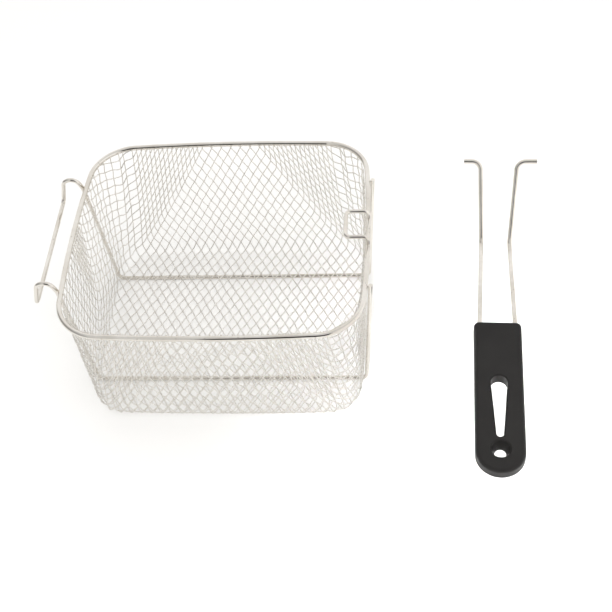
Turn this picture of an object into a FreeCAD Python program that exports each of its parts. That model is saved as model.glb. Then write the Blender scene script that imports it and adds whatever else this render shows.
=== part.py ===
import FreeCAD, Part
import Sketcher
import math
import os

from FreeCAD import Rotation, Vector

# Deep fryer basket with its pull-off handle lying beside it, in millimetres, +Z up.
# Every piece is drawn about the middle of the basket's floor plan, with the floor at z = 0.
# At the end all of them are moved together, so that the origin is the middle of the footprint
# of the whole set. +X points from the hook side of the basket to the handle.

UP = Vector(0, 0, 1)

doc = FreeCAD.newDocument("fryer_basket")
sheet = doc.addObject("Spreadsheet::Sheet", "Sizes")
sheet.Label = "sizes"

DRIVING_SIZES = [
    ("RimLength", 207, "rim wire, centre to centre along X"),
    ("RimWidth", 182, "rim wire, centre to centre along Y"),
    ("RimCorner", 32, "plan radius of the rim's corners"),
    ("RimBow", 1.9, "how far each side of the rim swells outwards"),
    ("RimHeight", 104, "floor to the rim wire's centre"),
    ("RimWire", 3.6, "rim wire diameter"),
    ("BaseLength", 196, "mesh at the basket's bottom, along X"),
    ("BaseWidth", 164, "mesh at the basket's bottom, along Y"),
    ("BaseCorner", 22, "plan radius of the bottom's corners"),
    ("BaseBow", 1.5, "how far each side of the bottom swells outwards"),
    ("BaseShift", -2.7, "middle of the bottom from the middle of the rim, along Y"),
    ("BottomRound", 5, "outside radius between bottom and walls"),
    ("MatThickness", 1.6, "depth of the woven mesh over its crimps"),
    ("MatTop", 0.6, "mesh above the rim wire's centre"),
    ("GapPitch", 28.8, "strand spacing round the wall, along the rim"),
    ("GapRise", 46.2, "height of one diamond between the strands"),
    ("StrandWidth", 2.4, "width of a strand between two gaps"),
    ("StrandRidge", 1.2, "width of the ridge that a strand narrows to on both faces"),
    ("CradleWire", 3.0, "diameter of the wire under the basket and of the hooks"),
    ("RunnerSpread", 98, "distance between the two runners"),
    ("CradleBend", 5, "bend radius at the runners' ends"),
    ("HookLean", 6, "bend radius where the hook leaves the rim"),
    ("HookPeakOut", 12.1, "hook arch's corner point, out from the rim's side"),
    ("HookPeakUp", 22.7, "hook arch's corner point, above the rim's centre"),
    ("HookArch", 6.25, "radius of the hook's arch"),
    ("HookBarOut", 20.7, "hook bar, out from the rim's side"),
    ("HookBarDrop", 13.9, "hook bar, below the rim's centre"),
    ("HookBarBend", 4, "bend radius at the ends of the hook bar"),
    ("BracketWire", 2.8, "diameter of the handle bracket's wire"),
    ("BracketSpread", 23.6, "distance between the bracket's legs"),
    ("BracketRise", 8, "bracket's bar above the rim's centre"),
    ("BracketReach", 15.1, "how far the bracket reaches in over the basket"),
    ("BracketBend", 3.4, "bend radius of the bracket"),
    ("GripLength", 127.8, "grip, end to end"),
    ("GripFront", 34.8, "grip's width at the prongs"),
    ("GripBack", 34.4, "grip's width at the hanging hole"),
    ("GripThickness", 9, "grip's thickness"),
    ("GripCorner", 4, "plan radius of the grip's front corners"),
    ("GripEdge", 2.6, "rounding of the grip's top edge"),
    ("GripUnderEdge", 1, "rounding of the grip's lower edge"),
    ("SlotStart", 27.8, "grip's end to the narrow end of its slot"),
    ("SlotEnd", 79.1, "grip's end to the wide end of its slot"),
    ("SlotNarrow", 5.4, "slot width at the hanging hole"),
    ("SlotWide", 11.9, "slot width towards the prongs"),
    ("SlotChamfer", 0.8, "bevel round the slot's mouth"),
    ("HangHole", 8.2, "diameter of the hanging hole"),
    ("HangHoleAt", 18.1, "grip's end to the hanging hole"),
    ("FunnelMouth", 14, "diameter of the hanging hole's funnel, inside its bevel"),
    ("FunnelWeb", 1.4, "straight part of the hole below the funnel"),
    ("ProngWire", 3.6, "prong wire diameter"),
    ("ProngExit", 27.8, "prong spacing where they leave the grip"),
    ("ProngKink", 21.8, "prong spacing at their kink"),
    ("ProngTop", 28.3, "prong spacing at their upper corners"),
    ("ProngTips", 56.3, "distance over the two turned-out tips"),
    ("ProngLean", 1.3, "how far the upper corners lean to +X"),
    ("TipLean", 2.4, "how far the middle of the two tips lies to +X"),
    ("ProngRoot", 32, "length of wire held inside the grip"),
    ("KinkAt", 82.4, "grip's front to the kink"),
    ("TopAt", 127.1, "grip's front to the upper corners"),
    ("TopRise", 45, "upper corners above the lower stretch"),
    ("KinkBend", 9, "bend radius of the kink"),
    ("TipBend", 7, "bend radius of the tips"),
    ("HandleX", 191.2, "grip's end from the middle of the basket, along X"),
    ("HandleY", -131.4, "grip's end from the middle of the basket, along Y"),
    ("HandleTurn", -2.01, "handle's turn about +Z, in degrees"),
]

for row, (alias, number, meaning) in enumerate(DRIVING_SIZES, start=1):
    sheet.set("A%d" % row, str(number))
    sheet.setAlias("A%d" % row, alias)
    sheet.set("B%d" % row, meaning)
doc.recompute()


def size(alias):
    return float(getattr(sheet, alias))


# The mesh lies on the runners and against the inside of the rim wire, with a hair of room.
WELD_ROOM = 0.05
matUnderside = size("CradleWire") + WELD_ROOM
rimStraight = size("RimWidth") - 2 * size("RimCorner")
rimSide = size("RimLength") / 2 - size("RimBow") * (size("RunnerSpread") / rimStraight) ** 2
baseShift = Vector(0, size("BaseShift"), 0)


def bowedPlan(length, width, corner, bow, z):
    """Closed wire: a rounded rectangle whose four sides are shallow outward arcs."""
    halfX, halfY = length / 2, width / 2
    sideX = ((halfY - corner) ** 2 + bow ** 2) / (2 * bow)
    sideY = ((halfX - corner) ** 2 + bow ** 2) / (2 * bow)
    centreX, centreY = halfX - sideX, halfY - sideY
    reachX, reachY = sideX - corner, sideY - corner
    span = math.hypot(centreX, centreY)
    along = (reachX ** 2 - reachY ** 2 + span ** 2) / (2 * span)
    off = math.sqrt(reachX ** 2 - along ** 2)
    dirX, dirY = -centreX / span, centreY / span
    cornerX = centreX + dirX * along - dirY * off
    cornerY = dirY * along + dirX * off
    onX = Vector(cornerX - centreX, cornerY, 0).normalize() * sideX + Vector(centreX, 0, 0)
    onY = Vector(cornerX, cornerY - centreY, 0).normalize() * sideY + Vector(0, centreY, 0)
    middle = (onX + onY) / 2 - Vector(cornerX, cornerY, 0)
    onCorner = middle.normalize() * corner + Vector(cornerX, cornerY, 0)
    edges = []
    for flipX, flipY, order in ((1, 1, 1), (-1, 1, -1), (-1, -1, 1), (1, -1, -1)):
        points = [Vector(p.x * flipX, p.y * flipY, z) for p in (onX, onCorner, onY)]
        points = points[::order]
        edges.append(Part.Arc(*points).toShape())
        if order == 1:
            farSide = Vector(-points[2].x, points[2].y, z)
            edges.append(Part.Arc(points[2], Vector(0, halfY * flipY, z), farSide).toShape())
        else:
            farSide = Vector(points[2].x, -points[2].y, z)
            edges.append(Part.Arc(points[2], Vector(halfX * flipX, 0, z), farSide).toShape())
    return Part.Wire(Part.__sortEdges__(edges))


def bentWire(points, bends):
    """Open wire of straight runs joined by tangent arcs, one bend radius per inner point."""
    edges = []
    start = points[0]
    for before, corner, after, bend in zip(points, points[1:], points[2:], bends):
        arriving = (corner - before).normalize()
        leaving = (after - corner).normalize()
        halfTurn = arriving.getAngle(leaving) / 2
        trim = bend * math.tan(halfTurn)
        inwards = (leaving - arriving).normalize()
        arcStart = corner - arriving * trim
        arcMiddle = corner + inwards * (bend / math.cos(halfTurn) - bend)
        arcEnd = corner + leaving * trim
        edges.append(Part.LineSegment(start, arcStart).toShape())
        edges.append(Part.Arc(arcStart, arcMiddle, arcEnd).toShape())
        start = arcEnd
    edges.append(Part.LineSegment(start, points[-1]).toShape())
    return Part.Wire(edges)


def sweptWire(name, path, diameterAlias):
    """A round wire along a path: its section is bound to the sheet."""
    spine = doc.addObject("Part::Feature", name + "_path")
    spine.Shape = path
    section = doc.addObject("Part::Circle", name + "_section")
    section.setExpression("Radius", "Sizes.%s / 2" % diameterAlias)
    first = path.OrderedEdges[0]
    section.Placement.Base = first.valueAt(first.FirstParameter)
    section.Placement.Rotation = Rotation(UP, first.tangentAt(first.FirstParameter))
    sweep = doc.addObject("Part::Sweep", name)
    sweep.Sections = [section]
    sweep.Spine = (spine, ["Edge%d" % (index + 1) for index in range(len(path.Edges))])
    sweep.Solid = True
    sweep.Frenet = False
    doc.recompute()
    expected = math.pi * (size(diameterAlias) / 2) ** 2 * path.Length
    print("%s: length %.1f mm, volume %.3f of section times length"
          % (name, path.Length, sweep.Shape.Volume / expected))
    return sweep


# Rim wire: one closed ring of wire round the mouth of the basket.
rimPath = bowedPlan(size("RimLength"), size("RimWidth"), size("RimCorner"), size("RimBow"), size("RimHeight"))
rimWire = sweptWire("rim_wire", rimPath, "RimWire")

# Mesh basket: one sheet of woven wire pressed into a tub, drawn as a mat of ridged strands
# with open diamonds between them, and half diamonds along both edges of the wall.
# Its lower edge turns up in two narrow bands.
BOTTOM_ROUND_STEPS = (0, 45, 90)
CUT_REACH = 5
matTopZ = size("RimHeight") + size("MatTop")
matFloorZ = matUnderside + size("MatThickness")


def mouthOutline(rimInset):
    """Plan of the tub at its upper edge, that far inside the rim wire's middle."""
    return bowedPlan(
        size("RimLength") - 2 * rimInset, size("RimWidth") - 2 * rimInset,
        size("RimCorner") - rimInset, size("RimBow"), matTopZ)


def tubSkin(name, inset, floorZ, roundRadius):
    """Solid of the tub's outside (inset 0) or of its hollow (inset by the mat's thickness)."""
    half = size("MatThickness") / 2 - inset
    rimInset = inset + size("RimWire") / 2 + WELD_ROOM
    outlines = []
    for degrees in BOTTOM_ROUND_STEPS:
        turned = math.radians(degrees)
        pulledIn = roundRadius * (1 - math.sin(turned))
        outline = bowedPlan(
            size("BaseLength") + 2 * (half - pulledIn), size("BaseWidth") + 2 * (half - pulledIn),
            size("BaseCorner") + half - pulledIn, size("BaseBow"),
            floorZ + roundRadius * (1 - math.cos(turned)))
        outline.translate(baseShift)
        outlines.append(outline)
    outlines.append(mouthOutline(rimInset))
    sections = []
    for index, outline in enumerate(outlines):
        section = doc.addObject("Part::Feature", "%s_outline_%d" % (name, index))
        section.Shape = outline
        sections.append(section)
    skin = doc.addObject("Part::Loft", name)
    skin.Sections = sections
    skin.Solid = True
    skin.Ruled = True
    return skin


tubOutside = tubSkin("tub_outside", 0, matUnderside, size("BottomRound"))
tubHollow = tubSkin(
    "tub_hollow", size("MatThickness"), matFloorZ, size("BottomRound") - size("MatThickness"))

# The gaps are spaced evenly round the wall, on lines that climb from the foot to the mouth.
halfMat = size("MatThickness") / 2
wallFoot = bowedPlan(
    size("BaseLength"), size("BaseWidth"), size("BaseCorner"), size("BaseBow"), matUnderside)
wallFoot.translate(baseShift)
wallMouth = mouthOutline(size("RimWire") / 2 + WELD_ROOM + halfMat)
columns = round((wallFoot.Length + wallMouth.Length) / 2 / size("GapPitch"))
halfPitch = size("GapPitch") / 2
halfRise = size("GapRise") / 2


def gapCutter(centre, across, along, cornersInCell):
    """Cutter for one gap: narrowest in the middle of the mat, so that the strands get ridges.

    Across and along reach from the cell's middle to its tips. The corners close in on the
    middle of the circle that fits between them, so that each side moves by half a strand.
    """
    through = across.cross(along).normalize()
    corners = [across * x + along * y for x, y in cornersInCell]
    sides = [following - corner for corner, following in zip(corners, corners[1:] + corners[:1])]
    edgeLength = sum(side.Length for side in sides)
    fitRadius = abs(sum(corner.cross(side).dot(through) for corner, side in zip(corners, sides))) / edgeLength
    fitMiddle = Vector()
    if len(corners) == 3:
        for index, corner in enumerate(corners):
            fitMiddle += corner * (sides[(index + 1) % 3].Length / edgeLength)
    rings = []
    for height, strand in ((-CUT_REACH, "StrandRidge"), (-halfMat, "StrandRidge"), (0, "StrandWidth"),
                           (halfMat, "StrandRidge"), (CUT_REACH, "StrandRidge")):
        share = 1 - size(strand) / 2 / fitRadius
        middle = centre + fitMiddle + through * height
        rings.append([middle + (corner - fitMiddle) * share for corner in corners])
    faces = [Part.Face(Part.makePolygon(ring + ring[:1])) for ring in (rings[0], rings[-1])]
    for lower, upper in zip(rings, rings[1:]):
        for index in range(len(corners)):
            following = (index + 1) % len(corners)
            faces.append(Part.Face(Part.makePolygon(
                [lower[index], lower[following], upper[following], upper[index], lower[index]])))
    cutter = Part.Solid(Part.Shell(faces))
    cutter.fix(WELD_ROOM, WELD_ROOM, WELD_ROOM)
    return cutter if cutter.Volume > 0 else cutter.reversed()


# Every other column holds two diamonds. The columns between them hold one at half height
# and a half diamond below and above it.
DIAMOND = ((1, 0), (0, 1), (-1, 0), (0, -1))
UPPER_HALF = ((1, 0), (0, 1), (-1, 0))
LOWER_HALF = ((1, 0), (-1, 0), (0, -1))
WIDE_COLUMN = ((0, DIAMOND), (2, DIAMOND))
EDGED_COLUMN = ((-1, UPPER_HALF), (1, DIAMOND), (3, LOWER_HALF))
lowestRowZ = matUnderside + size("BottomRound") + halfRise
gapCutters = []
feet = wallFoot.discretize(Number=2 * columns + 1)[:-1]
mouths = wallMouth.discretize(Number=2 * columns + 1)[:-1]


def wallPoint(index, z):
    """Middle of the mat at that height, on one of the lines that climb the wall."""
    foot, mouth = feet[index % len(feet)], mouths[index % len(mouths)]
    return foot + (mouth - foot) * ((z - foot.z) / (mouth.z - foot.z))


for index in range(2 * columns):
    for row, corners in WIDE_COLUMN if index % 2 == 0 else EDGED_COLUMN:
        z = lowestRowZ + row * halfRise
        across = (wallPoint(index + 1, z) - wallPoint(index - 1, z)) * 0.5
        along = wallPoint(index, z + halfRise) - wallPoint(index, z)
        gapCutters.append(gapCutter(wallPoint(index, z), across, along, corners))
wallGaps = len(gapCutters)

# On the bottom the strands keep the same slant, and the diamonds point along Y. Those that
# reach past the edge with one tip are halved.
floorPlan = bowedPlan(
    size("BaseLength") - size("BottomRound"), size("BaseWidth") - size("BottomRound"),
    size("BaseCorner"), size("BaseBow"), 0)
floorEdge = Part.Face(floorPlan)
floorRows = int(size("BaseWidth") / halfRise)
floorColumns = int(size("BaseLength") / halfPitch)
for row in range(-floorRows, floorRows + 1):
    for column in range(-floorColumns, floorColumns + 1):
        inside = [(x, y) for x, y in DIAMOND if floorEdge.isInside(
            Vector((column + x) * halfPitch, (row + y) * halfRise, 0), WELD_ROOM, True)]
        if (row + column) % 2 == 0 and len(inside) >= len(UPPER_HALF):
            centre = Vector(column * halfPitch, row * halfRise, matUnderside + halfMat) + baseShift
            gapCutters.append(gapCutter(
                centre, Vector(halfPitch, 0, 0), Vector(0, halfRise, 0), inside))
print("gaps: %d in the walls, %d in the bottom" % (wallGaps, len(gapCutters) - wallGaps))

tubShell = doc.addObject("Part::Cut", "tub_shell")
tubShell.Base = tubOutside
tubShell.Tool = tubHollow
meshGaps = doc.addObject("Part::Feature", "mesh_gaps")
meshGaps.Shape = Part.makeCompound(gapCutters)
meshBasket = doc.addObject("Part::Cut", "mesh_basket")
meshBasket.Base = tubShell
meshBasket.Tool = meshGaps
doc.recompute()

# Cradle wire: one bent wire. It stands against the right wall, runs under the basket, climbs the
# left wall, arches out over the rim as a hook, crosses as the hook bar and comes back the same way.
cradleHalf = size("CradleWire") / 2
rimTouch = rimSide + size("RimWire") / 2 + cradleHalf + WELD_ROOM
footX = size("BaseLength") / 2 + cradleHalf
wallLean = (rimTouch - footX) / size("RimHeight")
runnerY = size("RunnerSpread") / 2
leftSide = [
    Vector(-footX, 0, cradleHalf),
    Vector(-rimTouch, 0, size("RimHeight") - cradleHalf),
    Vector(-rimSide - size("HookPeakOut"), 0, size("RimHeight") + size("HookPeakUp")),
    Vector(-rimSide - size("HookBarOut"), 0, size("RimHeight") - size("HookBarDrop")),
]
rightSide = [
    Vector(rimTouch + wallLean * 2 * cradleHalf, 0, size("RimHeight") + cradleHalf),
    Vector(footX, 0, cradleHalf),
]
oneSide = rightSide + leftSide
nearSide = [point + Vector(0, -runnerY, 0) for point in oneSide]
farSide = [point + Vector(0, runnerY, 0) for point in reversed(oneSide)]
sideBends = [size("CradleBend"), size("CradleBend"), size("HookLean"), size("HookArch"), size("HookBarBend")]
cradleWire = sweptWire(
    "cradle_wire", bentWire(nearSide + farSide, sideBends + sideBends[::-1]), "CradleWire")

# Handle bracket: a small staple of wire on the right side of the rim, leaning in over the basket.
legX = size("RimLength") / 2
barZ = size("RimHeight") + size("BracketRise")
bracketY = size("BracketSpread") / 2
bracketPath = bentWire(
    [Vector(legX, -bracketY, size("RimHeight")), Vector(legX, -bracketY, barZ),
     Vector(legX - size("BracketReach"), -bracketY, barZ), Vector(legX - size("BracketReach"), bracketY, barZ),
     Vector(legX, bracketY, barZ), Vector(legX, bracketY, size("RimHeight"))],
    [size("BracketBend")] * 4)
bracketRod = sweptWire("handle_bracket_rod", bracketPath, "BracketWire")
handleBracket = doc.addObject("Part::Cut", "handle_bracket")
handleBracket.Base = bracketRod
handleBracket.Tool = rimWire
doc.recompute()

# Handle wire: one U of wire moulded into the grip, with a kink and two turned-out tips.
gripFront = size("GripLength")
wireZ = size("GripThickness") / 2
prongShape = [
    (size("ProngTips"), gripFront + size("TopAt"), wireZ + size("TopRise"), size("TipLean")),
    (size("ProngTop"), gripFront + size("TopAt"), wireZ + size("TopRise"), size("ProngLean")),
    (size("ProngKink"), gripFront + size("KinkAt"), wireZ, 0),
    (size("ProngExit"), gripFront - size("ProngRoot"), wireZ, 0),
]
rightProng = [Vector(lean + spread / 2, along, height) for spread, along, height, lean in prongShape]
leftProng = [Vector(lean - spread / 2, along, height) for spread, along, height, lean in prongShape]
prongBends = [size("TipBend"), size("KinkBend"), size("KinkBend")]
handleWire = sweptWire(
    "handle_wire", bentWire(rightProng + leftProng[::-1], prongBends + prongBends[::-1]), "ProngWire")

# Handle grip: one moulding with a tapered slot and a hanging hole below a funnel.
gripBody = doc.addObject("PartDesign::Body", "grip_body")
floorPlane = next(item for item in gripBody.Origin.OriginFeatures if item.Role == "XY_Plane")


def gripSketch(name):
    sketch = gripBody.newObject("Sketcher::SketchObject", name)
    sketch.AttachmentSupport = [(floorPlane, "")]
    sketch.MapMode = "FlatFace"
    return sketch


def addLoop(sketch, edges):
    """Closed outline of lines and arcs, its ends joined with coincident constraints."""
    indices = [sketch.addGeometry(edge, False) for edge in edges]
    for current, following in zip(indices, indices[1:] + indices[:1]):
        sketch.addConstraint(Sketcher.Constraint("Coincident", current, 2, following, 1))


def taperedOutline(startAt, endAt, startWidth, endWidth, startRound, endRound):
    """Long outline along Y: a round at each end and straight sides between them."""
    startHalf, endHalf = startWidth / 2, endWidth / 2
    startY, endY = startAt + startRound, endAt - endRound
    startPoint, endPoint = Vector(startHalf, startY, 0), Vector(endHalf, endY, 0)
    mirrored = [Vector(-point.x, point.y, 0) for point in (endPoint, startPoint)]
    edges = [Part.LineSegment(startPoint, endPoint)]
    if endRound == endHalf:
        edges.append(Part.Arc(endPoint, Vector(0, endAt, 0), mirrored[0]))
    else:
        slant = endRound * (1 - math.sqrt(0.5))
        edges.append(Part.Arc(
            endPoint, Vector(endHalf - slant, endAt - slant, 0), Vector(endHalf - endRound, endAt, 0)))
        edges.append(Part.LineSegment(
            Vector(endHalf - endRound, endAt, 0), Vector(endRound - endHalf, endAt, 0)))
        edges.append(Part.Arc(
            Vector(endRound - endHalf, endAt, 0), Vector(slant - endHalf, endAt - slant, 0), mirrored[0]))
    edges.append(Part.LineSegment(*mirrored))
    edges.append(Part.Arc(mirrored[1], Vector(0, startAt, 0), startPoint))
    return edges


outlineSketch = gripSketch("grip_outline")
addLoop(outlineSketch, taperedOutline(
    0, size("GripLength"), size("GripBack"), size("GripFront"), size("GripBack") / 2, size("GripCorner")))
gripPad = gripBody.newObject("PartDesign::Pad", "grip_pad")
gripPad.Profile = outlineSketch
gripPad.setExpression("Length", "Sizes.GripThickness")
doc.recompute()

slotSketch = gripSketch("slot_outline")
addLoop(slotSketch, taperedOutline(
    size("SlotStart"), size("SlotEnd"), size("SlotNarrow"), size("SlotWide"),
    size("SlotNarrow") / 2, size("SlotWide") / 2))
slotPocket = gripBody.newObject("PartDesign::Pocket", "grip_slot")
slotPocket.Profile = slotSketch
slotPocket.Type = "ThroughAll"
slotPocket.Reversed = True
doc.recompute()

holeSketch = gripSketch("hang_hole_outline")
holeSketch.addGeometry(Part.Circle(Vector(0, size("HangHoleAt"), 0), UP, size("HangHole") / 2), False)
holePocket = gripBody.newObject("PartDesign::Pocket", "hang_hole")
holePocket.Profile = holeSketch
holePocket.Type = "ThroughAll"
holePocket.Reversed = True
doc.recompute()

hangFunnel = gripBody.newObject("PartDesign::SubtractiveCone", "hang_funnel")
hangFunnel.AttachmentSupport = [(floorPlane, "")]
hangFunnel.MapMode = "FlatFace"
hangFunnel.AttachmentOffset.Base = Vector(0, size("HangHoleAt"), size("FunnelWeb"))
hangFunnel.setExpression("Radius1", "Sizes.HangHole / 2")
hangFunnel.setExpression("Radius2", "Sizes.FunnelMouth / 2")
hangFunnel.setExpression("Height", "Sizes.GripThickness - Sizes.FunnelWeb")
doc.recompute()


def edgesAtHeight(shape, height, isOuter):
    """Names of the flat edges at one height, either the outline's or the openings'."""
    names = []
    for index, edge in enumerate(shape.Edges, start=1):
        box = edge.BoundBox
        flat = abs(box.ZMin - height) < WELD_ROOM and abs(box.ZMax - height) < WELD_ROOM
        onOutline = abs(edge.CenterOfMass.x) > size("SlotWide") or box.XLength > 2 * size("SlotWide")
        if flat and onOutline == isOuter:
            names.append("Edge%d" % index)
    return names


topEdge = gripBody.newObject("PartDesign::Fillet", "grip_top_edge")
topEdge.Base = (hangFunnel, edgesAtHeight(hangFunnel.Shape, size("GripThickness"), True))
topEdge.setExpression("Radius", "Sizes.GripEdge")
doc.recompute()
underEdge = gripBody.newObject("PartDesign::Fillet", "grip_lower_edge")
underEdge.Base = (topEdge, edgesAtHeight(topEdge.Shape, 0, True))
underEdge.setExpression("Radius", "Sizes.GripUnderEdge")
doc.recompute()
slotBevel = gripBody.newObject("PartDesign::Chamfer", "slot_bevel")
slotBevel.Base = (underEdge, edgesAtHeight(underEdge.Shape, size("GripThickness"), False))
slotBevel.setExpression("Size", "Sizes.SlotChamfer")
doc.recompute()
gripBody.Tip = slotBevel

handleGrip = doc.addObject("Part::Cut", "handle_grip")
handleGrip.Base = gripBody
handleGrip.Tool = handleWire
doc.recompute()

# The handle lies on the floor to the right of the basket, turned a little.
handlePlace = FreeCAD.Placement(
    Vector(size("HandleX"), size("HandleY"), 0), Rotation(UP, size("HandleTurn")))
pieces = {
    "mesh_basket": (meshBasket, FreeCAD.Placement()),
    "rim_wire": (rimWire, FreeCAD.Placement()),
    "cradle_wire": (cradleWire, FreeCAD.Placement()),
    "handle_bracket": (handleBracket, FreeCAD.Placement()),
    "handle_wire": (handleWire, handlePlace),
    "handle_grip": (handleGrip, handlePlace),
}

# Each piece is placed once more as a part of the whole set.
overall = FreeCAD.BoundBox()
placedPieces = []
for label, (item, place) in pieces.items():
    item.Label = label + " as drawn"
    placed = doc.addObject("Part::Compound", label + "_placed")
    placed.Label = label
    placed.Links = [item]
    placed.Placement = place
    placedPieces.append(placed)
doc.recompute()
for placed in placedPieces:
    overall.add(placed.Shape.optimalBoundingBox(False))
footprintMiddle = Vector(overall.Center.x, overall.Center.y, overall.ZMin)
toFootprint = FreeCAD.Placement(-footprintMiddle, Rotation())
for placed in placedPieces:
    placed.Placement = toFootprint.multiply(placed.Placement)
doc.recompute()

for item in doc.Objects:
    if "Invalid" in item.State or "Error" in item.State:
        raise RuntimeError("%s failed to build: %s" % (item.Label, item.State))
for placed in placedPieces:
    if placed.Shape.isNull() or not placed.Shape.isValid() or len(placed.Shape.Solids) != 1:
        raise RuntimeError("%s has no valid shape" % placed.Label)

os.makedirs("parts", exist_ok=True)
for placed in placedPieces:
    placed.Shape.exportStep("parts/%s.step" % placed.Label)
    print("%s: %d faces, %.1f cubic mm" % (placed.Label, len(placed.Shape.Faces), placed.Shape.Volume))
print("whole set: %.1f x %.1f x %.1f mm, middle of the basket at x %.2f, y %.2f"
      % (overall.XLength, overall.YLength, overall.ZLength, -footprintMiddle.x, -footprintMiddle.y))
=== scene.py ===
import math
import bpy
import numpy as np
from mathutils import Matrix, Vector


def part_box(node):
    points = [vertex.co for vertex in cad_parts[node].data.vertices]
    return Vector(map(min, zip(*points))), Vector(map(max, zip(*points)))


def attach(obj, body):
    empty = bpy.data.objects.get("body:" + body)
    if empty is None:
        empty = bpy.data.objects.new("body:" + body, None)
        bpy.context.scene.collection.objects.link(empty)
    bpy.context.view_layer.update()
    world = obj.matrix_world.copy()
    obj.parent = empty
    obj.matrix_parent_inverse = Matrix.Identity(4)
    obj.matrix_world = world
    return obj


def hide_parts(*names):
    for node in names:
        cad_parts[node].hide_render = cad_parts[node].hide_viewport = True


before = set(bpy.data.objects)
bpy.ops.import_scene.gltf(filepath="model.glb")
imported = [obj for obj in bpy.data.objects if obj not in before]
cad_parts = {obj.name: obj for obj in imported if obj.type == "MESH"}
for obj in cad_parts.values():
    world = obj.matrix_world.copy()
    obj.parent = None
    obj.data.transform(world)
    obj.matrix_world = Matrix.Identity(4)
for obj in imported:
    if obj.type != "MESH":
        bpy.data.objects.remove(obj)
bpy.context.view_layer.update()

# Wire mesh basket for a small deep fryer, with its pull-off handle lying beside it.
# Everything is in metres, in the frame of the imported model.

body = "root"
mm = 0.001

rimLow, rimHigh = (Vector(corner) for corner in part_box("rim_wire"))
meshLow, meshHigh = (Vector(corner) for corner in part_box("mesh_basket"))
basketMiddle = (rimLow + rimHigh) / 2


def deselectAll():
    bpy.ops.object.select_all(action="DESELECT")


def pickOnly(piece):
    deselectAll()
    piece.select_set(True)
    bpy.context.view_layer.objects.active = piece


# the camera stands where the photograph was taken
cameraView = {
    "fromBasket": (132.4 * mm, -518.0 * mm, 662.9 * mm),   # from the middle of the basket, on the floor
    "yaw": 8.57,                   # degrees, turned to the left of +Y
    "upright": 90.0,               # degrees that turn a camera from looking down to looking level
    "pitch": 50.64,                # degrees down
    "roll": -7.17,                 # degrees
    "focalPixels": 1112.0,
    "imagePixels": 612,
    "sensor": 36.0,                # millimetres, as a camera counts them
}


def makeCamera():
    deselectAll()
    place = Vector(cameraView["fromBasket"]) + Vector((basketMiddle.x, basketMiddle.y, 0))
    bpy.ops.object.camera_add(location=place)
    camera = bpy.context.object
    camera.name = "photo_view"
    camera.data.sensor_width = cameraView["sensor"]
    camera.data.lens = cameraView["sensor"] * cameraView["focalPixels"] / cameraView["imagePixels"]
    turn = (Matrix.Rotation(math.radians(cameraView["yaw"]), 3, "Z")
            @ Matrix.Rotation(math.radians(cameraView["upright"] - cameraView["pitch"]), 3, "X")
            @ Matrix.Rotation(math.radians(cameraView["roll"]), 3, "Z"))
    camera.rotation_euler = turn.to_euler()
    bpy.context.scene.camera = camera


makeCamera()
print("camera placed")

# the woven net, pressed from a flat sheet into a tub
net = {
    "cellSide": 7.27 * mm,         # wire between two crossings
    "wireAngle": 60.0,             # degrees from the basket's long side, in the flat sheet
    "wire": 0.75 * mm,             # diameter of the woven wire
    "bottomHalf": (98.0 * mm, 82.0 * mm),
    "bottomCorner": 22.0 * mm,
    "bottomShift": -2.7 * mm,      # the bottom's middle from the rim's, along Y
    "bottomBow": 1.5 * mm,         # how far each side swells outwards
    "rimCorner": 29.4 * mm,
    "rimBow": 1.9 * mm,
    "bottomRound": 4.2 * mm,       # between bottom and walls
    "dieRound": 5.0 * mm,          # the edge that the sheet is drawn over
    "blankCorner": 110.0 * mm,
    "blankSpare": 14.0 * mm,
    "tightest": 3.4 * mm,          # crossings never come closer than this
    "drawStep": 1.0 * mm,
    "overdraw": 7.0 * mm,          # drawn this much deeper than the rim, then cut
    "rounds": 40,                  # settling rounds for each step
    "freeBand": 1.2,               # the wire is free this many die rounds below the flange
    "wallGrip": 0.05,              # how freely it moves once it lies on the wall
    "heldFoot": 0.3,               # lowest share of the bottom round, where it hardly moves
    "bottomGrip": 0.002,
    "fewestPoints": 3,             # a shorter wire falls out at the cut
    "bevelSteps": 1,
    "curveSteps": 4,
    "curveOrder": 3,
}
tiny = 1e-6 * mm                   # keeps a division or a radius off zero
netFloorZ = meshLow.z + net["wire"]
netHeight = meshHigh.z - netFloorZ
rimInset = rimHigh.z - rimLow.z + net["wire"]
rimHalf = (rimHigh - rimLow).xy / 2 - Vector((rimInset, rimInset))


def wallDistance(points):
    # how far points lie outside the tub's wall, and which way is outwards
    share = np.clip(points[:, 2] / netHeight, 0, 1)
    halfX = net["bottomHalf"][0] + (rimHalf.x - net["bottomHalf"][0]) * share
    halfY = net["bottomHalf"][1] + (rimHalf.y - net["bottomHalf"][1]) * share
    corner = net["bottomCorner"] + (net["rimCorner"] - net["bottomCorner"]) * share
    bow = net["bottomBow"] + (net["rimBow"] - net["bottomBow"]) * share
    shiftedY = points[:, 1] - net["bottomShift"] * (1 - share)
    acrossX, acrossY = np.abs(points[:, 0]), np.abs(shiftedY)
    sideX = halfX - bow * np.minimum(acrossY / (halfY - corner), 1) ** 2
    sideY = halfY - bow * np.minimum(acrossX / (halfX - corner), 1) ** 2
    pastX, pastY = acrossX - (sideX - corner), acrossY - (sideY - corner)
    outX, outY = np.maximum(pastX, 0), np.maximum(pastY, 0)
    reach = np.hypot(outX, outY)
    inner = reach == 0
    safe = np.where(inner, 1, reach)
    distance = reach + np.minimum(np.maximum(pastX, pastY), 0) - corner
    normalX = np.where(inner, pastX > pastY, outX / safe) * np.sign(points[:, 0])
    normalY = np.where(inner, pastX <= pastY, outY / safe) * np.sign(shiftedY)
    return distance, normalX, normalY


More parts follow.
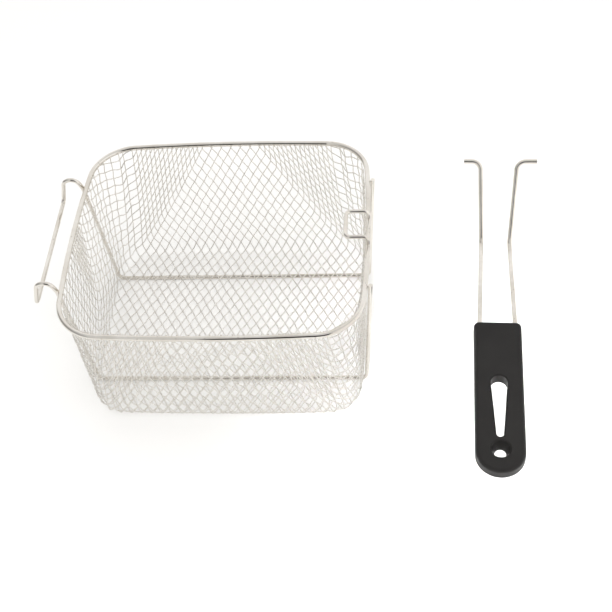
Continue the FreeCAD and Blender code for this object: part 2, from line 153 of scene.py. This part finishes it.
def punchDistance(points):
    # the same for the punch, whose bottom edge is rounded
    distance, normalX, normalY = wallDistance(points)
    past, below = distance + net["bottomRound"], net["bottomRound"] - points[:, 2]
    outPast, outBelow = np.maximum(past, 0), np.maximum(below, 0)
    reach = np.hypot(outPast, outBelow)
    inner = reach == 0
    safe = np.where(inner, 1, reach)
    sideways = np.where(inner, past > below, outPast / safe)
    downwards = np.where(inner, past <= below, outBelow / safe)
    outwards = np.stack([sideways * normalX, sideways * normalY, -downwards], -1)
    return np.minimum(np.maximum(past, below), 0) + reach - net["bottomRound"], outwards


def pressOn(points, drawn):
    # points moved on to the punch and the flange around it; also the outward directions
    punch, punchNormal = punchDistance(points)
    flange = drawn - points[:, 2]
    flangeNormal = np.array([0, 0, -1.0])
    edge = min(net["dieRound"], max(drawn, tiny))
    nearPunch, nearFlange = np.maximum(edge - punch, 0), np.maximum(edge - flange, 0)
    bend = np.hypot(nearPunch, nearFlange)
    onEdge = (nearPunch > 0) & (nearFlange > 0)
    gap = np.where(onEdge, np.maximum(edge, np.minimum(punch, flange)) - bend, np.minimum(punch, flange))
    leaning = nearPunch[:, None] * punchNormal + nearFlange[:, None] * flangeNormal
    blended = leaning / np.where(bend == 0, 1, bend)[:, None]
    plain = np.where((punch < flange)[:, None], punchNormal, flangeNormal)
    outwards = np.where(onEdge[:, None], blended, plain)
    return points - gap[:, None] * outwards, outwards


def neighbourPairs(numbers, stepI, stepJ):
    # pairs of crossings one step apart, in two sets that share no crossing
    rows, columns = numbers.shape
    first = numbers[:rows - stepI, max(0, -stepJ):columns - max(0, stepJ)]
    second = numbers[stepI:, max(0, stepJ):columns - max(0, -stepJ)]
    parity = np.indices(first.shape)[0 if stepI else 1] % 2
    both = (first >= 0) & (second >= 0)
    return [(first[both & (parity == side)], second[both & (parity == side)]) for side in (0, 1)]


def layFlat():
    # the crossings of the flat sheet, numbered along both wires; -1 lies outside its outline
    reachX = net["bottomHalf"][0] + netHeight + net["blankSpare"]
    reachY = net["bottomHalf"][1] + netHeight + net["blankSpare"]
    side, angle = net["cellSide"], math.radians(net["wireAngle"])
    count = math.ceil((reachX / math.cos(angle) + reachY / math.sin(angle)) / side / 2)
    steps = np.arange(-count, count + 1)
    alongI, alongJ = np.meshgrid(steps, steps, indexing="ij")
    flatX = side * math.cos(angle) * (alongI - alongJ)
    flatY = side * math.sin(angle) * (alongI + alongJ)
    pastX = np.abs(flatX) - (reachX - net["blankCorner"])
    pastY = np.abs(flatY) - (reachY - net["blankCorner"])
    outline = np.hypot(np.maximum(pastX, 0), np.maximum(pastY, 0)) + np.minimum(np.maximum(pastX, pastY), 0)
    used = outline <= net["blankCorner"]
    numbers = np.full(used.shape, -1)
    numbers[used] = np.arange(used.sum())
    return numbers, np.stack([flatX[used], flatY[used], np.zeros(used.sum())], -1)


def formNet():
    # the sheet is drawn down step by step: its wires keep their length and its diamonds shear
    numbers, points = layFlat()
    links = neighbourPairs(numbers, 1, 0) + neighbourPairs(numbers, 0, 1)
    diagonals = neighbourPairs(numbers, 1, 1) + neighbourPairs(numbers, 1, -1)
    drawn = 0.0
    while drawn < netHeight + net["overdraw"]:
        drawn += net["drawStep"]
        isFree = points[:, 2] > drawn - net["freeBand"] * net["dieRound"]
        freedom = np.where(isFree, 1.0, net["wallGrip"])
        freedom = np.where(points[:, 2] < net["heldFoot"] * net["bottomRound"], net["bottomGrip"], freedom)
        for _ in range(net["rounds"]):
            for pairs, isLink in [(pair, True) for pair in links] + [(pair, False) for pair in diagonals]:
                first, second = pairs
                apart = points[second] - points[first]
                length = np.sqrt((apart * apart).sum(1))
                error = length - net["cellSide"] if isLink else np.minimum(length - net["tightest"], 0)
                push = apart * (error / length / (freedom[first] + freedom[second]))[:, None]
                points[first] += push * freedom[first][:, None]
                points[second] -= push * freedom[second][:, None]
            points, outwards = pressOn(points, drawn)
    return numbers, points, outwards


def cutAtRim(above, below):
    share = (netHeight - below[2]) / max(above[2] - below[2], tiny)
    return below + (above - below) * min(max(share, 0), 1)


def wireRuns(numbers, points, outwards, isWarp):
    # each wire's run of crossings below the rim, over and under by turns
    runs = []
    for row, line in enumerate(numbers.T if isWarp else numbers):
        previous, isBelow = None, False
        for place, number in enumerate(line):
            if number < 0:
                continue
            wasBelow, isBelow = isBelow, points[number][2] < netHeight
            if isBelow and not wasBelow:
                runs.append([] if previous is None else [cutAtRim(points[previous], points[number])])
            if isBelow:
                lift = net["wire"] if (place + row + isWarp) % 2 else -net["wire"]
                runs[-1].append(points[number] + outwards[number] * lift)
            elif wasBelow:
                runs[-1].append(cutAtRim(points[number], points[previous]))
            previous = number
    return [run for run in runs if len(run) >= net["fewestPoints"]]


def weaveWires(name, isWarp, formed):
    curve = bpy.data.curves.new(name, "CURVE")
    curve.dimensions = "3D"
    curve.bevel_depth = net["wire"] / 2
    curve.bevel_resolution = net["bevelSteps"]
    curve.use_fill_caps = True
    curve.resolution_u = net["curveSteps"]
    middle = np.array([basketMiddle.x, basketMiddle.y, netFloorZ])
    for run in wireRuns(*formed, isWarp):
        spline = curve.splines.new("NURBS")
        spline.points.add(len(run) - 1)
        for point, place in zip(spline.points, run):
            point.co = (*(place + middle), 1)
        spline.order_u = net["curveOrder"]
        spline.use_endpoint_u = True
    wires = bpy.data.objects.new(name, curve)
    bpy.context.collection.objects.link(wires)
    pickOnly(wires)
    bpy.ops.object.convert(target="MESH")
    wires = bpy.context.object
    bpy.ops.object.shade_smooth()
    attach(wires, body)
    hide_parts("mesh_basket")
    print(name, len(wires.data.polygons), "faces")
    return wires


formed = formNet()
print("sheet drawn into the tub")
warpWires = weaveWires("warp_wires", True, formed)
weftWires = weaveWires("weft_wires", False, formed)
print("net woven")

# the finishes: bright plating, tinned woven wire and the black moulding
colourSockets = (6, 7)             # a colour Mix node's two colours
numberSockets = (2, 3)             # a number Mix node's two numbers
mixedColour = 2                    # and its mixed colour
grainShare = 0.6                   # of the fine grain in the relief
grainRange = (0.3, 0.7)            # grain values from the smoothest to the roughest spots


def addNode(tree, kind, place, **values):
    node = tree.nodes.new(kind)
    node.location = place
    for name, value in values.items():
        if name in node.inputs:
            node.inputs[name].default_value = value
        else:
            setattr(node, name, value)
    return node


def groupTree(name, inputs, outputs):
    tree = bpy.data.node_groups.new(name, "ShaderNodeTree")
    for label, value in inputs:
        socket = tree.interface.new_socket(label, in_out="INPUT", socket_type="NodeSocketFloat")
        socket.default_value = value
    for label in outputs:
        tree.interface.new_socket(label, in_out="OUTPUT", socket_type="NodeSocketFloat")
    return tree, tree.nodes.new("NodeGroupInput"), tree.nodes.new("NodeGroupOutput")


def makeFineGrain():
    # cloudy patches, fine grain and small specks, shared by the wires and the grip
    tree, source, result = groupTree(
        "fine grain",
        [("Patch Scale", 60.0), ("Grain Scale", 900.0), ("Speck Scale", 300.0), ("Speck Size", 0.12)],
        ["Patches", "Grain", "Specks", "Height"])
    place = addNode(tree, "ShaderNodeTexCoord", (-900, 0))
    patches = addNode(tree, "ShaderNodeTexNoise", (-600, 200), Detail=3.0, Roughness=0.55)
    grain = addNode(tree, "ShaderNodeTexNoise", (-600, -60), Detail=2.0, Roughness=0.6)
    specks = addNode(tree, "ShaderNodeTexVoronoi", (-600, -320), Randomness=1.0)
    inSpeck = addNode(tree, "ShaderNodeMath", (-380, -320), operation="LESS_THAN")
    height = addNode(tree, "ShaderNodeMath", (-180, -120), operation="MULTIPLY_ADD")
    height.inputs[1].default_value = grainShare
    link = tree.links.new
    for texture, scale in ((patches, "Patch Scale"), (grain, "Grain Scale"), (specks, "Speck Scale")):
        link(place.outputs["Object"], texture.inputs["Vector"])
        link(source.outputs[scale], texture.inputs["Scale"])
    link(specks.outputs["Distance"], inSpeck.inputs[0])
    link(source.outputs["Speck Size"], inSpeck.inputs[1])
    link(grain.outputs["Fac"], height.inputs[0])
    link(patches.outputs["Fac"], height.inputs[2])
    link(patches.outputs["Fac"], result.inputs["Patches"])
    link(grain.outputs["Fac"], result.inputs["Grain"])
    link(inSpeck.outputs["Value"], result.inputs["Specks"])
    link(height.outputs["Value"], result.inputs["Height"])
    return tree


fineGrain = makeFineGrain()


def finish(name, look):
    # one finish: a colour that drifts in patches, specks on it, and grain in gloss and relief
    material = bpy.data.materials.new(name)
    material.use_nodes = True
    tree = material.node_tree
    shader = tree.nodes["Principled BSDF"]
    shader.inputs["Metallic"].default_value = look["metallic"]
    shader.inputs["Specular IOR Level"].default_value = look["specular"]
    grain = addNode(tree, "ShaderNodeGroup", (-900, 0), node_tree=fineGrain)
    for label in ("Patch Scale", "Grain Scale", "Speck Scale", "Speck Size"):
        grain.inputs[label].default_value = look[label]
    tone = addNode(tree, "ShaderNodeValToRGB", (-640, 220))
    low, high = tone.color_ramp.elements
    low.position, high.position = look["patchRange"]
    low.color, high.color = (*look["dark"], 1), (*look["light"], 1)
    specked = addNode(tree, "ShaderNodeMix", (-340, 220), data_type="RGBA")
    plainColour, speckColour = (specked.inputs[number] for number in colourSockets)
    speckColour.default_value = (*look["speck"], 1)
    gloss = addNode(tree, "ShaderNodeMapRange", (-640, -60))
    gloss.inputs["From Min"].default_value, gloss.inputs["From Max"].default_value = grainRange
    gloss.inputs["To Min"].default_value, gloss.inputs["To Max"].default_value = look["roughness"]
    relief = addNode(tree, "ShaderNodeBump", (-340, -220))
    relief.inputs["Strength"].default_value = look["relief"]
    relief.inputs["Distance"].default_value = look["reliefDepth"]
    link = tree.links.new
    link(grain.outputs["Patches"], tone.inputs["Fac"])
    link(tone.outputs["Color"], plainColour)
    link(grain.outputs["Specks"], specked.inputs[0])
    link(specked.outputs[mixedColour], shader.inputs["Base Color"])
    link(grain.outputs["Grain"], gloss.inputs["Value"])
    link(gloss.outputs["Result"], shader.inputs["Roughness"])
    link(grain.outputs["Height"], relief.inputs["Height"])
    link(relief.outputs["Normal"], shader.inputs["Normal"])
    return material


platedLook = {
    "metallic": 1.0, "specular": 0.5,
    "Patch Scale": 45.0, "Grain Scale": 700.0, "Speck Scale": 260.0, "Speck Size": 0.09,
    "patchRange": (0.35, 0.68), "dark": (0.80, 0.76, 0.70), "light": (0.93, 0.905, 0.86),
    "speck": (0.5, 0.46, 0.41), "roughness": (0.03, 0.09), "relief": 0.05, "reliefDepth": 0.1 * mm,
}
wovenLook = {
    "metallic": 1.0, "specular": 0.5,
    "Patch Scale": 120.0, "Grain Scale": 1300.0, "Speck Scale": 420.0, "Speck Size": 0.12,
    "patchRange": (0.32, 0.66), "dark": (0.83, 0.805, 0.76), "light": (0.94, 0.92, 0.88),
    "speck": (0.7, 0.675, 0.635), "roughness": (0.22, 0.38), "relief": 0.15, "reliefDepth": 0.1 * mm,
}
gripLook = {
    "metallic": 0.0, "specular": 0.28,
    "Patch Scale": 38.0, "Grain Scale": 1500.0, "Speck Scale": 700.0, "Speck Size": 0.1,
    "patchRange": (0.3, 0.75), "dark": (0.006, 0.0055, 0.0055), "light": (0.009, 0.0085, 0.008),
    "speck": (0.018, 0.017, 0.016), "roughness": (0.38, 0.5), "relief": 0.3, "reliefDepth": 0.12 * mm,
}
platedWire = finish("bright plated wire", platedLook)
wovenWire = finish("tinned woven wire", wovenLook)
blackGrip = finish("black moulded grip", gripLook)


def dress(piece, material):
    piece.data.materials.clear()
    piece.data.materials.append(material)


for name in ("rim_wire", "cradle_wire", "handle_bracket", "handle_wire"):
    dress(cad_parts[name], platedWire)
dress(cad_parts["handle_grip"], blackGrip)
for wires in (warpWires, weftWires):
    dress(wires, wovenWire)
print("finishes set")

# the floor, and a room of soft light; each pair of limits is where a change begins and ends
studio = {
    "floorSize": 8.0,
    "paper": (0.93, 0.925, 0.915),
    "paperShadedInReflections": (0.8, 0.79, 0.775),    # painted shade: the paper made darker only where the wires mirror it
    "paperRoughness": 0.9,
    "backdrop": 1.05,              # what the camera sees past the floor
    "lightColour": (1.0, 0.992, 0.975),
    "overhead": 0.68,              # brightness overhead, and where nothing else is named
    "leftWall": 0.34,
    "leftLimits": (-0.9, -0.3),
    "rightWall": 1.0,
    "rightLimits": (0.25, 0.8),
    "behind": 0.9,                 # behind the basket
    "behindLimits": (0.3, 0.6),
    "darkGap": 0.03,               # brightness of the unlit gap on the near side
    "gapMiddle": 0.12,
    "gapSides": (0.285, 0.335),
    "gapFront": (-0.6, -0.45),
    "gapTop": (0.66, 0.78),
    "spotTowards": (-0.02, -0.65, 0.76),    # a dim spot above that gap
    "spotDark": 0.75,
    "spotLimits": (0.975, 0.992),
    "key": {"place": (0.22, -1.3, 1.7), "towards": (0.0, 0.0, 0.0), "size": 0.9,
            "power": 13.0, "spread": 180.0},
    "ceiling": {"place": (0.0, 0.0, 1.6), "towards": (0.0, 0.0, 0.0), "size": 2.4,
                "power": 12.0, "spread": 180.0},
    "handleLamp": {"place": (0.06, -0.85, 1.2), "towards": (0.16, -0.06, 0.0), "size": 0.1,
                   "power": 0.25, "spread": 16.0},
}


def makeFloor():
    deselectAll()
    bpy.ops.mesh.primitive_plane_add(size=studio["floorSize"], location=(0, 0, 0))
    floor = bpy.context.object
    floor.name = "floor"
    paper = bpy.data.materials.new("white paper")
    paper.use_nodes = True
    tree = paper.node_tree
    shader = tree.nodes["Principled BSDF"]
    shader.inputs["Roughness"].default_value = studio["paperRoughness"]
    # painted shade: glossy rays see a darker copy of the paper than the camera does
    path = addNode(tree, "ShaderNodeLightPath", (-500, 200))
    shade = addNode(tree, "ShaderNodeMix", (-250, 200), data_type="RGBA")
    seenColour, paintedShadeInReflections = (shade.inputs[number] for number in colourSockets)
    seenColour.default_value = (*studio["paper"], 1)
    paintedShadeInReflections.default_value = (*studio["paperShadedInReflections"], 1)
    tree.links.new(path.outputs["Is Glossy Ray"], shade.inputs[0])
    tree.links.new(shade.outputs[mixedColour], shader.inputs["Base Color"])
    dress(floor, paper)


def rampNode(tree, place, source, limits, atLow, atHigh):
    ramp = addNode(tree, "ShaderNodeMapRange", place, interpolation_type="SMOOTHSTEP")
    ramp.inputs["From Min"].default_value, ramp.inputs["From Max"].default_value = limits
    ramp.inputs["To Min"].default_value, ramp.inputs["To Max"].default_value = atLow, atHigh
    tree.links.new(source, ramp.inputs["Value"])
    return ramp.outputs["Result"]


def mathNode(tree, place, operation, *values):
    node = addNode(tree, "ShaderNodeMath", place, operation=operation)
    for socket, value in zip(node.inputs, values):
        if isinstance(value, float):
            socket.default_value = value
        else:
            tree.links.new(value, socket)
    return node.outputs["Value"]


def blendNode(tree, place, amount, plain, other):
    # from the plain source to another brightness, by the amount
    node = addNode(tree, "ShaderNodeMix", place, data_type="FLOAT")
    plainSocket, otherSocket = (node.inputs[number] for number in numberSockets)
    otherSocket.default_value = other
    tree.links.new(amount, node.inputs[0])
    tree.links.new(plain, plainSocket)
    return node.outputs[0]


def makeSurroundings():
    # a light room, dimmer on the left, with an unlit gap on the near side
    world = bpy.data.worlds.new("studio")
    bpy.context.scene.world = world
    world.use_nodes = True
    tree = world.node_tree
    background = tree.nodes["Background"]
    direction = addNode(tree, "ShaderNodeTexCoord", (-1500, 0)).outputs["Generated"]
    parts = addNode(tree, "ShaderNodeSeparateXYZ", (-1300, 200))
    tree.links.new(direction, parts.inputs["Vector"])
    alongX, alongY, alongZ = (parts.outputs[axis] for axis in "XYZ")
    overhead = studio["overhead"]
    left = rampNode(tree, (-1050, 400), alongX, studio["leftLimits"], studio["leftWall"], overhead)
    right = rampNode(tree, (-1050, 200), alongX, studio["rightLimits"], 0.0, studio["rightWall"] - overhead)
    behind = rampNode(tree, (-1050, 600), alongY, studio["behindLimits"], 0.0, 1.0)
    walls = mathNode(tree, (-800, 300), "ADD", left, right)
    lit = blendNode(tree, (-650, 300), behind, walls, studio["behind"])
    sideways = mathNode(tree, (-1050, 0), "SUBTRACT", alongX, studio["gapMiddle"])
    aside = mathNode(tree, (-900, 0), "ABSOLUTE", sideways)
    inGap = rampNode(tree, (-750, 0), aside, studio["gapSides"], 1.0, 0.0)
    inFront = rampNode(tree, (-750, -200), alongY, studio["gapFront"], 1.0, 0.0)
    lowDown = rampNode(tree, (-750, -400), alongZ, studio["gapTop"], 1.0, 0.0)
    gapWidth = mathNode(tree, (-600, 0), "MULTIPLY", inGap, inFront)
    gap = mathNode(tree, (-500, -100), "MULTIPLY", gapWidth, lowDown)
    towardsSpot = addNode(tree, "ShaderNodeVectorMath", (-1050, -600), operation="DOT_PRODUCT")
    tree.links.new(direction, towardsSpot.inputs[0])
    towardsSpot.inputs[1].default_value = Vector(studio["spotTowards"]).normalized()
    nearness = towardsSpot.outputs["Value"]
    spot = rampNode(tree, (-750, -600), nearness, studio["spotLimits"], 0.0, studio["spotDark"])
    dark = mathNode(tree, (-400, -200), "MAXIMUM", gap, spot)
    around = blendNode(tree, (-300, 100), dark, lit, studio["darkGap"])
    path = addNode(tree, "ShaderNodeLightPath", (-300, 400))
    seen = blendNode(tree, (-120, 100), path.outputs["Is Camera Ray"], around, studio["backdrop"])
    tree.links.new(seen, background.inputs["Strength"])
    background.inputs["Color"].default_value = (*studio["lightColour"], 1)


def makeLamp(name, lamp):
    # its light falls on everything, and it isn't mirrored in the wires
    deselectAll()
    bpy.ops.object.light_add(type="AREA", location=lamp["place"])
    light = bpy.context.object
    light.name = name
    light.data.shape = "DISK"
    light.data.size = lamp["size"]
    light.data.energy = lamp["power"]
    light.data.spread = math.radians(lamp["spread"])
    aim = Vector(lamp["towards"]) - Vector(lamp["place"])
    light.rotation_euler = aim.to_track_quat("-Z", "Y").to_euler()
    light.visible_glossy = False


makeFloor()
makeSurroundings()
makeLamp("key", studio["key"])
makeLamp("ceiling", studio["ceiling"])
makeLamp("handle_lamp", studio["handleLamp"])
bpy.context.scene.view_settings.view_transform = "Standard"
print("light set")
